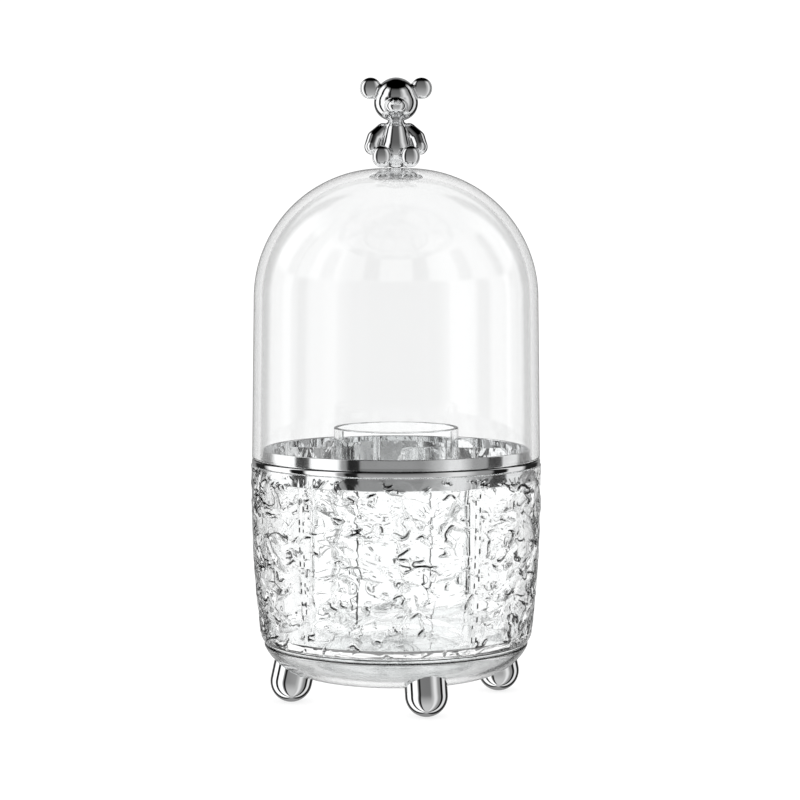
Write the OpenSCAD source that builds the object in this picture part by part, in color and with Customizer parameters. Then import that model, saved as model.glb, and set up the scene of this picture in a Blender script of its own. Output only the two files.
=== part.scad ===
// Round dustproof make-up organiser: a turning rippled barrel on a footed pan,
// a lift-out divider insert and a lift-off dome with a sitting bear as its knob.
// Millimetres, +Z up, the front faces -Y, z = 0 is the table under the feet.

/* [Stand] */
// Height of the pan's flat underside above the table
pan_lift = 12; // [10:0.5:14]
// Diameter of a round-ended foot
foot_d = 20; // [16:0.5:22]
// Distance from the pan's rim, seen from above, in to a foot's lowest point
foot_inset = 11.5; // [11:0.1:11.7]
// Outward lean of a foot, in degrees
foot_lean = 12.5; // [4:0.5:13]
// Turn of the four feet round the axis from the front, in degrees
foot_turn = 15.8; // [0:0.1:45]

/* [Base pan] */
// Height of the pan from its underside to its rim
pan_h = 15; // [13:0.5:17]
// Width, seen from above, of the curved part between underside and rim
pan_curve_w = 22.5; // [22.3:0.1:23]
// Radius of that curve
pan_curve_r = 25; // [24:0.1:27]
// Wall and floor of the pan
pan_wall = 2.5; // [1.8:0.1:3]

/* [Turntable] */
// Outer radius of the glide ring that carries the barrel
ring_r = 38.6; // [30:0.2:42]
// Wall of the glide ring
ring_wall = 2.6; // [2:0.1:4]
// Height of the rib that centres the glide ring on the pan
ring_rib_h = 2; // [1:0.1:4]
// Thickness of that rib
ring_rib_t = 1.6; // [1.2:0.1:2.4]
// Radius of the pivot shaft under the barrel
pivot_r = 7; // [5.5:0.1:8]
// Length of the pan's bore that the pivot turns in
pivot_web = 5; // [4:0.2:7]
// Wall of the pan's hub round that bore
hub_wall = 4.6; // [4:0.1:6]
// Thickness of the clip that keeps the pivot in the pan
clip_t = 2.2; // [1.6:0.1:2.6]
// Width of the clip's shoulder beyond the pivot shaft
clip_shoulder = 1.9; // [1.2:0.1:2.4]
// Step in from the pivot shaft to the nose that holds the clip
nose_step = 2.05; // [1.5:0.05:3]

/* [Barrel] */
// Widest outer radius of the barrel
barrel_r = 70; // [64:0.5:76]
// Height of the barrel from its bottom edge to its mouth
barrel_h = 85.8; // [70:0.2:110]
// Wall of the barrel
barrel_wall = 3.2; // [2.4:0.1:4]
// Floor of the barrel
barrel_floor_t = 3; // [2:0.1:4]
// Height of the floor's underside above the bottom edge
floor_recess = 2.6; // [2:0.1:5]
// Height of the plain band under the rippled skin
plain_band_h = 1.25; // [0.8:0.05:3]
// Step out from the plain band to the rippled skin
skin_step = 0.4; // [0:0.1:1]
// Radius of the long bulging curve of the side
belly_r = 620; // [500:10:900]
// Depth of the widest point under the mouth
belly_drop = 10; // [4:0.5:20]
// Radius of the round bottom edge of the skin
corner_r = 8; // [6:0.5:10]
// Height of that edge's centre above the foot of the skin
corner_up = 5.2; // [4:0.1:5.6]
// Width of the plain upright channels where the mould's slides meet
channel_w = 2.2; // [1:0.1:4]
// Depth of those channels in the rippled skin
channel_depth = 0.4; // [0.2:0.05:0.8]

/* [Collar] */
// Step in from the barrel's widest point to the flange's edge
flange_inset = 0.5; // [0:0.1:1.5]
// Thickness of the flange
flange_t = 3; // [2:0.1:4]
// Height of the upright lip above the flange
lip_h = 5.2; // [3:0.1:9]
// Wall of the upright lip
lip_wall = 1; // [0.8:0.1:1.6]
// Depth of the skirt inside the barrel's mouth
skirt_h = 6.2; // [4:0.1:10]
// Radius of the rounded edges of the flange
collar_round = 0.8; // [0.2:0.1:0.9]

/* [Dome cover] */
// Height of the cover from its rim to its crown
cover_h = 139.2; // [130:0.2:170]
// Wall of the cover
cover_wall = 3.8; // [2.6:0.1:4.4]
// Step in from the flange's edge to the cover's rim
cover_inset = 0.1; // [0:0.1:1]
// Radius lost from the rim to the start of the crown's curve
cover_draft = 1; // [0.2:0.1:2]
// Radius of the crown's curve
crown_r = 62.3; // [54:0.1:62.5]

/* [Divider insert] */
// Outer radius of the centre tube
tube_r = 30; // [22:0.5:34]
// Wall of the centre tube
tube_wall = 2; // [1.6:0.1:3]
// Height of the centre tube
tube_h = 98; // [60:1:100]
// Thickness of a divider
divider_t = 2; // [1.6:0.1:3]
// Height of a divider
divider_h = 79.4; // [50:0.2:82]
// Radius of a divider's outer top corner
divider_top_round = 8; // [3:0.5:14]
// Radius of a divider's outer bottom corner
divider_low_round = 5; // [4:0.5:8]
// Turn of the first divider round the axis from the front, in degrees
divider_turn = 33; // [0:1:71]

/* [Bear knob] */
// Radius of the peg under the bear
peg_r = 3; // [2:0.1:5]
// Length of the peg
peg_h = 2; // [1:0.1:2.2]
// Height of the head's centre above the crown
head_z = 33.4; // [31:0.2:36]
// Radius of the head's top
head_r = 10; // [9:0.1:12]
// Sideways reach of a cheek's centre
cheek_x = 2; // [1:0.1:3]
// Radius of a cheek
cheek_r = 8.6; // [7.5:0.1:9]
// Radius of an ear
ear_r = 5.2; // [4:0.1:6]
// Half the thickness of an ear
ear_half_t = 2.5; // [2:0.1:3.5]
// Sideways reach of an ear's centre
ear_x = 12.2; // [11:0.1:13]
// Height of an ear's centre above the head's centre
ear_up = 4.8; // [3:0.1:7]
// Half the width of the muzzle
muzzle_half_w = 5.2; // [4:0.1:6]
// Half the depth and height of the muzzle
muzzle_half = 4; // [3:0.1:5]
// Radius of the belly
belly_ball_r = 9; // [7:0.1:9.5]
// Radius of the chest
chest_r = 6.2; // [5.5:0.1:7.5]
// Height of the chest's centre above the crown
chest_z = 17.5; // [15.5:0.1:19]
// Radius of an arm at the shoulder
shoulder_r = 3.4; // [2.6:0.1:4]
// Radius of an arm at the elbow
elbow_r = 4.2; // [3.4:0.1:4.6]
// Sideways reach of an elbow's centre
elbow_x = 9.8; // [8.8:0.1:10.6]
// Radius of a paw
paw_r = 4; // [3:0.1:4.4]
// Sideways reach of a paw's centre
paw_x = 11.2; // [10.5:0.1:12]
// Height of a paw's centre above the crown
paw_z = 10.2; // [9:0.1:11]
// Radius of a leg
leg_r = 4.4; // [4:0.1:5]
// Forward reach of a leg's end
leg_reach = 9.5; // [7:0.1:10]
// Half the width of a foot sole
sole_half_w = 4.6; // [4:0.1:5]
// Half the height of a foot sole
sole_half_h = 5.3; // [4.6:0.1:6]

/* [Clearances] */
// Seam between the pan's rim and the barrel
seam_gap = 0.4; // [0.3:0.05:1]
// Gap between two pieces that rest or glide on each other
rest_gap = 0.2; // [0.1:0.05:0.3]
// Radial clearance of the pivot in its bore
pivot_fit = 0.06; // [0.03:0.01:0.1]
// Radial clearance of pieces that are bonded together
bond_fit = 0.05; // [0.02:0.01:0.1]
// Radial play of the glide ring on its rib
ring_fit = 0.15; // [0.1:0.05:0.3]
// Radial play between the cover and the collar's lip
cover_play = 1.1; // [0.6:0.1:2]
// Gap between the dividers and whatever they pass
divider_gap = 2; // [1.5:0.1:4]

/* [Hidden] */

clear_plastic = [0.88, 0.93, 0.95, 0.4];
clear_insert = [0.80, 0.90, 0.94, 0.6];
chrome = [0.78, 0.79, 0.81];

$fn = 96;
eps = 0.01;
// Longer than any radius, for half-planes in the sections
far = 200;

dividers = 5;
feet = 4;

// Heights of the barrel's stack
pan_rim_z = pan_lift + pan_h;
barrel_z = pan_rim_z + seam_gap;
skin_z = barrel_z + plain_band_h;
floor_under_z = barrel_z + floor_recess;
floor_top_z = floor_under_z + barrel_floor_t;
mouth_z = barrel_z + barrel_h;
flange_top_z = mouth_z + flange_t;
lip_top_z = flange_top_z + lip_h;
skirt_z = mouth_z - skirt_h;

// Section of the rippled skin: a long belly curve and the round edge tangent to it
belly_z = mouth_z - belly_drop;
belly_x = barrel_r - belly_r;
corner_z = skin_z + corner_up;
corner_x = belly_x + sqrt(pow(belly_r - corner_r, 2) - pow(belly_z - corner_z, 2));
corner_turn = asin((belly_z - corner_z) / (belly_r - corner_r));
tangent_z = corner_z - corner_r * sin(corner_turn);
skin_foot_r = corner_x + sqrt(pow(corner_r, 2) - pow(corner_up, 2));
mouth_r = belly_x + sqrt(pow(belly_r, 2) - pow(mouth_z - belly_z, 2));
mouth_inner_r = mouth_r - barrel_wall;

// The pan lines up with the barrel's plain band
pan_r = skin_foot_r - skin_step;
pan_flat_r = pan_r - pan_curve_w;
pan_floor_z = pan_lift + pan_wall;
foot_ring_r = pan_r - foot_inset;
foot_r = foot_d / 2;

// Pivot of the barrel in the pan's hub
clip_under_z = pan_lift + rest_gap;
clip_top_z = clip_under_z + clip_t;
web_z = clip_top_z + rest_gap;
hub_top_z = web_z + pivot_web;
clip_r = pivot_r + clip_shoulder;
recess_r = clip_r + rest_gap;
nose_r = pivot_r - nose_step;
hub_r = recess_r + hub_wall - clip_shoulder;
ring_z = pan_floor_z + eps;
ring_top_z = floor_under_z - rest_gap;
ring_inner_r = ring_r - ring_wall;

// Collar and cover
flange_r = barrel_r - flange_inset;
cover_rim_r = flange_r - cover_inset;
lip_r = cover_rim_r - cover_wall - cover_play;
lip_inner_r = lip_r - lip_wall;
skirt_r = mouth_inner_r - bond_fit;
cover_z = flange_top_z + rest_gap;
cover_top_z = cover_z + cover_h;
spring_z = cover_top_z - crown_r;
spring_r = cover_rim_r - cover_draft;
land_r = spring_r - crown_r;

// Insert
insert_z = floor_top_z + rest_gap;
divider_r = lip_inner_r - divider_gap;
divider_top_z = insert_z + divider_h;
tube_top_z = insert_z + tube_h;

// ---------- base pan ----------
// Filled section of the pan's outside, or of its inside when it is inset by a wall
module pan_section(inset, top) {
    low = pan_lift + inset;
    translate([0, low]) square([pan_flat_r, top - low]);
    intersection() {
        translate([pan_flat_r, pan_lift + pan_curve_r]) circle(r = pan_curve_r - inset);
        translate([0, low]) square([pan_r - inset, top - low]);
    }
}

module base_pan() {
    color(clear_plastic) difference() {
        union() {
            rotate_extrude() difference() {
                pan_section(0, pan_rim_z);
                pan_section(pan_wall, pan_rim_z + far);
            }
            // Hub round the pivot, and the rib that centres the glide ring
            translate([0, 0, pan_lift]) cylinder(r = hub_r, h = hub_top_z - pan_lift);
            translate([0, 0, pan_floor_z - eps]) difference() {
                cylinder(r = ring_inner_r - ring_fit, h = ring_rib_h + eps);
                translate([0, 0, -eps])
                    cylinder(r = ring_inner_r - ring_fit - ring_rib_t, h = ring_rib_h + 3 * eps);
            }
        }
        translate([0, 0, pan_lift - 1]) cylinder(r = recess_r, h = web_z - pan_lift + 1);
        translate([0, 0, pan_lift]) cylinder(r = pivot_r + pivot_fit, h = hub_top_z);
    }
}

// ---------- feet ----------
// One leaning, round-ended foot whose top is cut to the pan's curved underside
module foot(index) {
    color(chrome) rotate([0, 0, foot_turn + index * 360 / feet]) difference() {
        translate([0, -foot_ring_r, foot_r]) rotate([-foot_lean, 0, 0]) {
            sphere(r = foot_r);
            cylinder(r = foot_r, h = pan_lift);
        }
        rotate_extrude() {
            translate([0, pan_lift - bond_fit]) square([pan_flat_r, far]);
            intersection() {
                translate([pan_flat_r, pan_lift + pan_curve_r]) circle(r = pan_curve_r + bond_fit);
                translate([0, pan_lift - bond_fit]) square([pan_flat_r + pan_curve_r, pan_curve_r]);
            }
        }
    }
}

// ---------- turntable ring ----------
module turntable_ring() {
    color(clear_insert) translate([0, 0, ring_z]) difference() {
        cylinder(r = ring_r, h = ring_top_z - ring_z);
        translate([0, 0, -1]) cylinder(r = ring_inner_r, h = ring_top_z - ring_z + 2);
    }
}

// ---------- barrel ----------
// Filled section of the skin from the axis out, inset by a wall
module skin_section(inset, low, top) {
    intersection() {
        union() {
            intersection() {
                translate([belly_x, belly_z]) circle(r = belly_r - inset, $fn = 720);
                translate([0, tangent_z]) square([far, top - tangent_z]);
            }
            translate([corner_x, corner_z]) circle(r = corner_r - inset);
            translate([0, corner_z - corner_r + inset]) square([corner_x, corner_r]);
        }
        translate([0, low]) square([far, top - low]);
    }
}

// Cutter for one upright channel, over the whole height of the skin
module channel(index) {
    turn = channel_w / barrel_r * 180 / PI;
    rotate([0, 0, divider_turn + index * 360 / dividers - 90 - turn / 2])
        rotate_extrude(angle = turn) difference() {
            skin_section(-1, skin_z, mouth_z + 1);
            skin_section(channel_depth, skin_z - 1, mouth_z + 2);
        }
}

module barrel() {
    color(clear_plastic) difference() {
        rotate_extrude() difference() {
            union() {
                skin_section(0, skin_z, mouth_z);
                translate([0, barrel_z]) square([pan_r, plain_band_h + eps]);
            }
            skin_section(barrel_wall, floor_top_z, mouth_z + 1);
            translate([0, barrel_z - 1]) square([pan_r - pan_wall, floor_recess + 1]);
        }
        for (index = [0 : dividers - 1]) channel(index);
    }
    // Pivot shaft and the nose that the clip is pressed on
    color(clear_plastic) {
        translate([0, 0, clip_top_z]) cylinder(r = pivot_r, h = floor_under_z - clip_top_z + eps);
        translate([0, 0, clip_under_z]) cylinder(r = nose_r, h = clip_t + eps);
    }
}

// ---------- pivot clip ----------
module pivot_clip() {
    color(clear_insert) translate([0, 0, clip_under_z]) difference() {
        cylinder(r = clip_r, h = clip_t);
        translate([0, 0, -1]) cylinder(r = nose_r + bond_fit, h = clip_t + 2);
    }
}

// ---------- collar ring ----------
module collar_ring() {
    color(chrome) rotate_extrude() union() {
        translate([lip_inner_r, skirt_z]) square([skirt_r - lip_inner_r, skirt_h + eps]);
        // Flange with a rounded edge
        translate([lip_inner_r, mouth_z]) square([flange_r - collar_round - lip_inner_r, flange_t]);
        for (z = [mouth_z + collar_round, flange_top_z - collar_round])
            translate([flange_r - collar_round, z]) circle(r = collar_round, $fn = 32);
        translate([flange_r - 2 * collar_round, mouth_z + collar_round])
            square([2 * collar_round, flange_t - 2 * collar_round]);
        // Upright lip with a round top
        translate([lip_inner_r, flange_top_z - eps]) square([lip_wall, lip_h - lip_wall / 2 + eps]);
        translate([lip_inner_r + lip_wall / 2, lip_top_z - lip_wall / 2])
            circle(r = lip_wall / 2, $fn = 32);
    }
}

// ---------- divider insert ----------
module insert_tube() {
    color(clear_insert) translate([0, 0, insert_z]) difference() {
        cylinder(r = tube_r, h = tube_h);
        translate([0, 0, -1]) cylinder(r = tube_r - tube_wall, h = tube_h + 2);
    }
}

// Side view of one divider, from the axis out, with its two outer corners rounded
module divider_outline() {
    difference() {
        union() {
            translate([0, divider_low_round])
                square([divider_r, divider_h - divider_low_round - divider_top_round]);
            square([divider_r - divider_low_round, divider_h]);
            translate([divider_r - divider_low_round, divider_low_round]) circle(r = divider_low_round);
            translate([0, divider_h - divider_top_round - eps])
                square([divider_r - divider_top_round, divider_top_round + eps]);
            translate([divider_r - divider_top_round, divider_h - divider_top_round])
                circle(r = divider_top_round);
        }
        translate([-1, divider_h]) square([divider_r + 2, far]);
    }
}

module divider(index) {
    color(clear_insert) rotate([0, 0, divider_turn + index * 360 / dividers - 90])
        translate([0, 0, insert_z]) difference() {
            translate([0, divider_t / 2, 0]) rotate([90, 0, 0])
                linear_extrude(height = divider_t) divider_outline();
            translate([0, 0, -1]) cylinder(r = tube_r, h = divider_h + 2);
        }
}

// ---------- dome cover ----------
// Filled section of the dome from the axis out, inset by a wall
module dome_section(inset) {
    polygon([
        [0, cover_z - (inset > 0 ? 1 : 0)],
        [cover_rim_r - inset, cover_z - (inset > 0 ? 1 : 0)],
        [cover_rim_r - inset, cover_z],
        [spring_r - inset, spring_z],
        [0, spring_z]
    ]);
    translate([0, spring_z]) square([land_r, crown_r - inset]);
    intersection() {
        translate([land_r, spring_z]) circle(r = crown_r - inset, $fn = 180);
        translate([0, spring_z - eps]) square([far, far]);
    }
}

module dome_cover() {
    color(clear_plastic) difference() {
        rotate_extrude($fn = 180) difference() {
            dome_section(0);
            dome_section(cover_wall);
        }
        // Blind socket for the bear's peg
        translate([0, 0, cover_top_z - peg_h - rest_gap])
            cylinder(r = peg_r + bond_fit, h = peg_h + 1);
    }
}

// ---------- bear knob ----------
// A limb from one ball to another
module limb(a, ra, b, rb) {
    hull() {
        translate(a) sphere(r = ra, $fn = 20);
        translate(b) sphere(r = rb, $fn = 20);
    }
}

// An egg-shaped pad with its three half sizes
module pad(at, half) {
    translate(at) hull() scale(half) sphere(r = 1, $fn = 20);
}

module bear_knob() {
    color(chrome) translate([0, 0, cover_top_z]) {
        intersection() {
            union() {
                // Body and head
                limb([0, 1, belly_ball_r], belly_ball_r, [0, 1, chest_z], chest_r);
                hull() {
                    translate([0, 0, head_z]) sphere(r = head_r, $fn = 28);
                    for (side = [-1, 1])
                        translate([side * cheek_x, -1, head_z - 2.2]) sphere(r = cheek_r, $fn = 28);
                }
                muzzle_y = -head_r + 1.4;
                shoulder_z = chest_z + 0.8;
                elbow_z = (shoulder_z + paw_z) / 2;
                pad([0, muzzle_y, head_z - 4], [muzzle_half_w, muzzle_half, muzzle_half]);
                pad([0, muzzle_y - muzzle_half, head_z - 2.2], [1.9, 1.2, 1.3]);
                for (side = [-1, 1]) {
                    pad([side * ear_x, 1, head_z + ear_up], [ear_r, ear_half_t, ear_r]);
                    shoulder = [side * chest_r, 0.4, shoulder_z];
                    elbow = [side * elbow_x, -0.4, elbow_z];
                    limb(shoulder, shoulder_r, elbow, elbow_r);
                    limb(elbow, elbow_r, [side * paw_x, -2.4, paw_z], paw_r);
                    limb([side * 4.8, -1, leg_r + 0.2], leg_r, [side * 6.8, -leg_reach, leg_r + 0.5], leg_r);
                    pad([side * 6.8, -leg_reach - 3, sole_half_h], [sole_half_w, 2.4, sole_half_h]);
                }
            }
            translate([-far, -far, 0]) cube([2 * far, 2 * far, far]);
        }
        translate([0, 0, -peg_h]) cylinder(r = peg_r, h = peg_h + 1, $fn = 32);
    }
}

base_pan();
foot(0);  // foot_front
foot(1);  // foot_right
foot(2);  // foot_back
foot(3);  // foot_left
turntable_ring();
barrel();
pivot_clip();
collar_ring();
insert_tube();
divider(0);  // divider_1
divider(1);  // divider_2
divider(2);  // divider_3
divider(3);  // divider_4
divider(4);  // divider_5
dome_cover();
bear_knob();
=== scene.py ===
import cmath
import math

import bmesh
import bpy
import numpy as np
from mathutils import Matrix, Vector, noise


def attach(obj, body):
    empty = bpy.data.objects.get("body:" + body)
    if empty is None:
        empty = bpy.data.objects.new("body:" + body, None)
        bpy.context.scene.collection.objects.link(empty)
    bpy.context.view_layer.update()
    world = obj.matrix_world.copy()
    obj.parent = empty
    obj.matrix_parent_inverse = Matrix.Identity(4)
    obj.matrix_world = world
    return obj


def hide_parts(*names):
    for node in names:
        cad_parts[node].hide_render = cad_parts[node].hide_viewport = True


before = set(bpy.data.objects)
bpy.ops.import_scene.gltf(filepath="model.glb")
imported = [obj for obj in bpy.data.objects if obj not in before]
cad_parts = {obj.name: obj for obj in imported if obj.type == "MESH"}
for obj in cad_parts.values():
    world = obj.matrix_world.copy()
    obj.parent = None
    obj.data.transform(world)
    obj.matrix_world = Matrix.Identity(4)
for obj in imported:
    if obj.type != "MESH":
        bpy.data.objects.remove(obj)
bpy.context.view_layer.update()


# ==== Base pan ====
# A shallow bowl of clear plastic, injection-moulded in one piece with the hub that the
# barrel's pivot turns in and the low rib that centres the glide ring. It is polished
# inside and out, and the four feet are bonded under its curve.

MM = 0.001
PAN_UNDER = 12.0
PAN_FLAT_R = 41.24
PAN_CURVE = 25.0
PAN_CURVE_STEPS = 40
PAN_RIM_R = 63.74
PAN_RIM = 27.0
PAN_RIM_ROUND = 0.35
PAN_WALL = 2.5
PAN_FLOOR = 14.5
FLAT_MARGIN = 2.0
CURVE_END = -26.4
INNER_CURVE_END = -27
RIB_OUTER_R = 35.85
RIB_INNER_R = 34.25
RIB_TOP = 16.5
HUB_R = 11.8
HUB_TOP = 19.6
BORE_R = 7.06
RECESS_R = 9.1
RECESS_TOP = 14.6
MOULD_ROUND = 0.3
PAN_COLOUR = (0.93, 0.935, 0.935)
PAN_SEAM = (26.5, 27.1)
# Near black, for shade painted into the colour of clear plastic at the seams and along the barrel's strokes
PAINTED_SHADE_DARK = (0.001, 0.001, 0.001, 1)


def arc(centre, radius, start, stop, count):
    """Points of an arc in the section plane, its angles in degrees from straight out."""
    turns = np.radians(np.linspace(start, stop, count))
    return [(centre[0] + radius * math.cos(t), centre[1] + radius * math.sin(t)) for t in turns]


def soften(corners, steps=5, long_side=4, held_at=0.08):
    """Rounds each corner of a closed outline that has a third number, its radius, and puts
    a point close to each end of a long side, so that the side is shaded straight."""
    spots = [complex(c[0], c[1]) for c in corners]
    outline = []
    for i, corner in enumerate(corners):
        here = spots[i]
        if len(corner) == 2:
            outline.append((here.real, here.imag))
            continue
        back = spots[i - 1] - here
        on = spots[(i + 1) % len(spots)] - here
        back /= abs(back)
        on /= abs(on)
        half = abs(cmath.phase(on / back)) / 2
        centre = here + (back + on) / abs(back + on) * corner[2] / math.sin(half)
        first = here + back * corner[2] / math.tan(half) - centre
        last = here + on * corner[2] / math.tan(half) - centre
        sweep = cmath.phase(last / first)
        for k in range(steps + 1):
            spot = centre + first * cmath.exp(1j * sweep * k / steps)
            outline.append((spot.real, spot.imag))
    held = []
    for here, on in zip(outline, outline[1:] + outline[:1]):
        held.append(here)
        length = math.dist(here, on)
        if length > long_side:
            for share in (held_at / length, 1 - held_at / length):
                held.append((here[0] + (on[0] - here[0]) * share, here[1] + (on[1] - here[1]) * share))
    return held


def solid(name, points, faces, sharp=38):
    """A smooth-shaded object from points in millimetres."""
    mesh = bpy.data.meshes.new(name)
    mesh.from_pydata([(x * MM, y * MM, z * MM) for x, y, z in points], [], faces)
    mesh.shade_smooth()
    mesh.set_sharp_from_angle(angle=math.radians(sharp))
    piece = bpy.data.objects.new(name, mesh)
    bpy.context.scene.collection.objects.link(piece)
    return piece


def lathe(name, outline, columns=288, depth=None):
    """Turns a closed outline, counter-clockwise, about the axis. depth(row) gives the
    inward offset of each column of a row, and None leaves the row round."""
    turns = np.arange(columns) * 2 * math.pi / columns
    across = np.sin(turns)
    along = -np.cos(turns)
    points = []
    rings = []
    for row, (r, z) in enumerate(outline):
        if r < 1e-6:
            rings.append([len(points)] * columns)
            points.append((0, 0, z))
            continue
        cut = depth(row) if depth else None
        radii = np.full(columns, r) if cut is None else r - cut
        rings.append(list(range(len(points), len(points) + columns)))
        points += list(zip((radii * across).tolist(), (radii * along).tolist(), [z] * columns))
    faces = []
    for low, high in zip(rings, rings[1:] + rings[:1]):
        for i in range(columns):
            k = (i + 1) % columns
            corners = list(dict.fromkeys((low[i], low[k], high[k], high[i])))
            if len(corners) > 2:
                faces.append(corners)
    return solid(name, points, faces)


def add_node(tree, kind, inputs=None, **settings):
    """A shader node with its settings, and with its inputs linked or set to plain values."""
    node = tree.nodes.new("ShaderNode" + kind)
    for key, value in settings.items():
        setattr(node, key, value)
    for key, value in (inputs or {}).items():
        if isinstance(value, bpy.types.NodeSocket):
            tree.links.new(value, node.inputs[key])
        else:
            node.inputs[key].default_value = value
    return node


def new_group(name, inputs, outputs):
    """A node group with named sockets, each given with its kind, and its two end nodes."""
    group = bpy.data.node_groups.new(name, "ShaderNodeTree")
    for way, sockets in (("INPUT", inputs), ("OUTPUT", outputs)):
        for label, kind in sockets:
            group.interface.new_socket(label, in_out=way, socket_type="NodeSocket" + kind)
    return group, group.nodes.new("NodeGroupInput").outputs, group.nodes.new("NodeGroupOutput").inputs


def handling_marks():
    """Node group: faint smudges that dull a polish, and hairlines too fine to see as lines."""
    group, given, result = new_group(
        "handling_marks",
        [("Polish", "Float"), ("Smudge", "Float"), ("Smudge Size", "Float"), ("Hairline", "Float")],
        [("Roughness", "Float"), ("Height", "Float")],
    )
    place = add_node(group, "TexCoord").outputs["Object"]
    patches = add_node(
        group, "TexNoise", {"Vector": place, "Scale": given["Smudge Size"], "Detail": 4, "Distortion": 0.6}
    )
    smudges = add_node(
        group,
        "MapRange",
        {"Value": patches.outputs["Fac"], "From Min": 0.48, "From Max": 0.72, "To Max": given["Smudge"]},
    )
    total = add_node(group, "Math", {0: given["Polish"], 1: smudges.outputs["Result"]}, operation="ADD")
    group.links.new(total.outputs["Value"], result["Roughness"])
    stretch = add_node(
        group, "Mapping", {"Vector": place, "Rotation": (0.3, 0.5, 0.9), "Scale": (1500, 90, 90)}
    )
    lines = add_node(group, "TexNoise", {"Vector": stretch.outputs["Vector"], "Scale": 1, "Detail": 2})
    height = add_node(group, "Math", {0: lines.outputs["Fac"], 1: given["Hairline"]}, operation="MULTIPLY")
    group.links.new(height.outputs["Value"], result["Height"])
    return group


def seam_shadow():
    """Node group: painted shade, near black, on a narrow level band such as a cut rim, where the dark of the
    room gathers.
    """
    group, given, result = new_group(
        "seam_shadow",
        [("Colour", "Color"), ("Level", "Float"), ("Half Width", "Float")],
        [("Colour", "Color")],
    )
    place = add_node(group, "TexCoord").outputs["Object"]
    height = add_node(group, "SeparateXYZ", {"Vector": place}).outputs["Z"]
    limits = {0: height, 1: given["Level"], 2: given["Half Width"]}
    band = add_node(group, "Math", limits, operation="COMPARE").outputs["Value"]
    colours = {"Factor": band, "A": given["Colour"], "B": PAINTED_SHADE_DARK}
    shaded = add_node(group, "Mix", colours, data_type="RGBA")
    group.links.new(shaded.outputs["Result"], result["Colour"])
    return group


marks = handling_marks()
seam = seam_shadow()


def worn(name, colour, polish, smudge, hairline, smudge_size=60):
    """A material of one colour, its polish broken by handling marks, and its shader's inputs."""
    material = bpy.data.materials.new(name)
    material.use_nodes = True
    tree = material.node_tree
    shader = tree.nodes["Principled BSDF"]
    shader.inputs["Base Color"].default_value = (*colour, 1)
    wear = add_node(
        tree,
        "Group",
        {"Polish": polish, "Smudge": smudge, "Smudge Size": smudge_size, "Hairline": hairline},
        node_tree=marks,
    )
    tree.links.new(wear.outputs["Roughness"], shader.inputs["Roughness"])
    relief = add_node(tree, "Bump", {"Height": wear.outputs["Height"], "Strength": 0.02, "Distance": 0.0001})
    tree.links.new(relief.outputs["Normal"], shader.inputs["Normal"])
    return material, shader.inputs


def clear_plastic(name, colour, polish, smudge, hairline, ior=1.49):
    """Clear moulded plastic: a plain glass shader, its polish broken by handling marks."""
    material, shader = worn(name, colour, polish, smudge, hairline)
    shader["Transmission Weight"].default_value = 1
    shader["IOR"].default_value = ior
    return material


def shade_seam(material, low, high):
    """Paints the seam's shadow, as painted shade, between two heights, in millimetres, into a clear
    plastic's colour.
    """
    tree = material.node_tree
    base = tree.nodes["Principled BSDF"].inputs["Base Color"]
    values = {"Colour": base.default_value[:]}
    values["Level"] = (low + high) / 2 * MM
    values["Half Width"] = (high - low) / 2 * MM
    shadow = add_node(tree, "Group", values, node_tree=seam)
    tree.links.new(shadow.outputs["Colour"], base)


pan_curve_centre = (PAN_FLAT_R, PAN_UNDER + PAN_CURVE)
pan_outline = soften(
    [(RECESS_R, PAN_UNDER, 0.2)]
    + [(PAN_FLAT_R - FLAT_MARGIN, PAN_UNDER)]
    + arc(pan_curve_centre, PAN_CURVE, -90, CURVE_END, PAN_CURVE_STEPS)
    + [(PAN_RIM_R, PAN_RIM, PAN_RIM_ROUND), (PAN_RIM_R - PAN_WALL, PAN_RIM, PAN_RIM_ROUND)]
    + arc(pan_curve_centre, PAN_CURVE - PAN_WALL, INNER_CURVE_END, -90, PAN_CURVE_STEPS)
    + [(RIB_OUTER_R, PAN_FLOOR, MOULD_ROUND), (RIB_OUTER_R, RIB_TOP, MOULD_ROUND)]
    + [(RIB_INNER_R, RIB_TOP, MOULD_ROUND), (RIB_INNER_R, PAN_FLOOR, MOULD_ROUND)]
    + [(HUB_R, PAN_FLOOR, 0.8), (HUB_R, HUB_TOP, 0.5), (BORE_R, HUB_TOP, MOULD_ROUND)]
    + [(BORE_R, RECESS_TOP), (RECESS_R, RECESS_TOP)]
)
pan = lathe("pan_bowl", pan_outline)
pan_plastic = clear_plastic("pan_plastic", PAN_COLOUR, polish=0.1, smudge=0.03, hairline=0.5)
shade_seam(pan_plastic, *PAN_SEAM)
pan.data.materials.append(pan_plastic)
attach(pan, "base")
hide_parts("base_pan")


# ==== Feet ====
# Four round-ended pegs, chrome-plated plastic, that lean outward under the pan. The top
# of each is cut to the pan's curve, and a thin film of adhesive holds it there.

FOOT_R = 10.0
FOOT_CENTRE_R = 52.24
FOOT_LEAN = math.radians(12.5)
FOOT_TURN = math.radians(15.8)
FOOT_COLUMNS = 96
FOOT_FILM = 0.05
FOOT_EDGE = 0.25
END_ROWS = 24
SHANK_ROWS = 8
TOP_SHARES = (1, 0.97, 0.8, 0.6, 0.4, 0.2)
FOOT_SEARCH = 40.0
CHROME_COLOUR = (0.83, 0.835, 0.84)


def chrome(name, colour, polish, smudge, hairline):
    """Bright chrome plating on moulded plastic, with finger marks finer than the plastic's."""
    material, shader = worn(name, colour, polish, smudge, hairline, smudge_size=140)
    shader["Metallic"].default_value = 1
    return material


plating = chrome("chrome_plating", CHROME_COLOUR, polish=0.008, smudge=0.012, hairline=0.5)


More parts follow.
